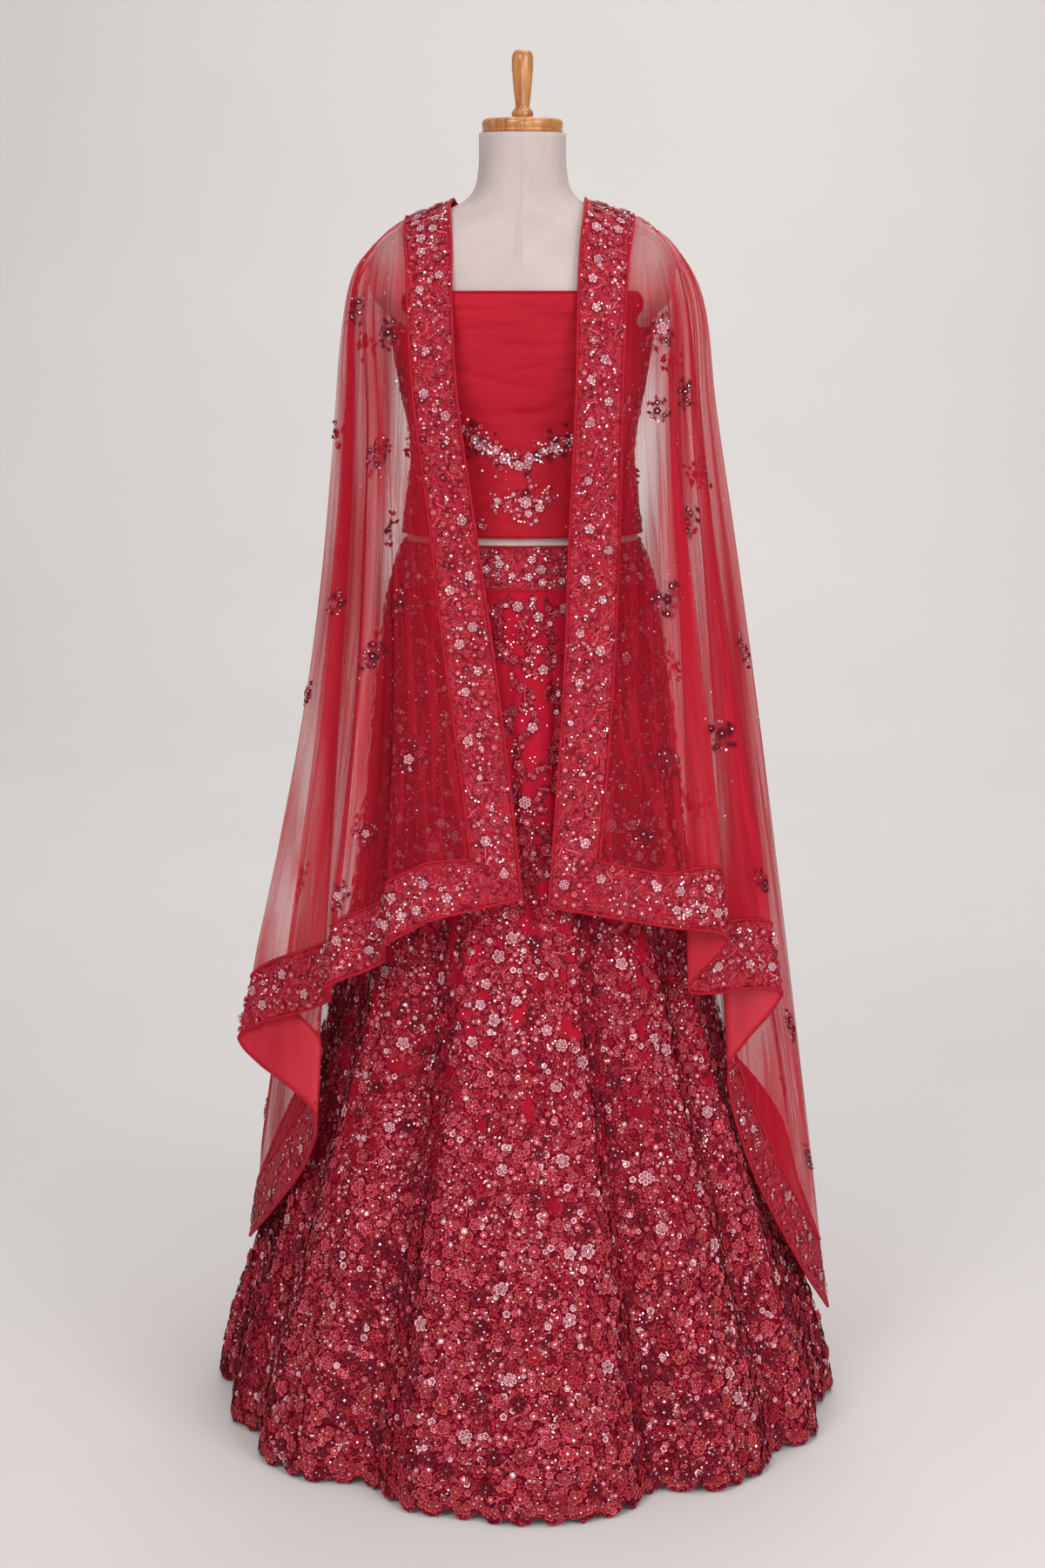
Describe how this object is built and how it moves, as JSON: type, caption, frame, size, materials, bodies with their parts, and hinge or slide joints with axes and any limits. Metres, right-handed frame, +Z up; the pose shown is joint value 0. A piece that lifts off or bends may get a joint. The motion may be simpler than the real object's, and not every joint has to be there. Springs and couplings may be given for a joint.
{
  "type": "lehenga set on a dress form",
  "caption": "Flared lehenga skirt with a scalloped hem, a strapless blouse cloth and a bordered net stole open down the front, on a limbless dress form with a turned handle.",
  "frame": {"origin": "middle of the underside of the stand's round base, on the floor", "axes": "+Z up, the front faces -Y, +X to the right as seen from the front"},
  "size_m": [0.7982, 0.833, 1.6901],
  "materials": {
    "form_cloth": "smooth pale linen",
    "wood": "varnished",
    "iron": "painted",
    "steel": "brushed",
    "satin": "soft satin",
    "embroidery": "corded embroidery with sequins on net",
    "lining": "satin",
    "net": "soft sheer net"
  },
  "bodies": {
    "root": {"form_torso": "form_cloth", "form_neck_cap": "wood", "form_handle": "wood", "stand_pole": "steel", "stand_base": "iron", "blouse_front": "satin", "blouse_back": "satin", "waistband_front": "embroidery", "waistband_back": "embroidery", "skirt_gore_1": "embroidery", "skirt_gore_2": "embroidery", "skirt_gore_3": "embroidery", "skirt_gore_4": "embroidery", "skirt_gore_5": "embroidery", "skirt_gore_6": "embroidery", "skirt_gore_7": "embroidery", "skirt_gore_8": "embroidery", "skirt_lining": "lining", "stole_net_right": "net", "stole_net_back": "net", "stole_net_left": "net", "stole_border_front_right": "embroidery", "stole_border_front_left": "embroidery", "stole_border_neck": "embroidery", "stole_border_end_right": "embroidery", "stole_border_hem": "embroidery", "stole_border_end_left": "embroidery"}
  },
  "joints": []
}
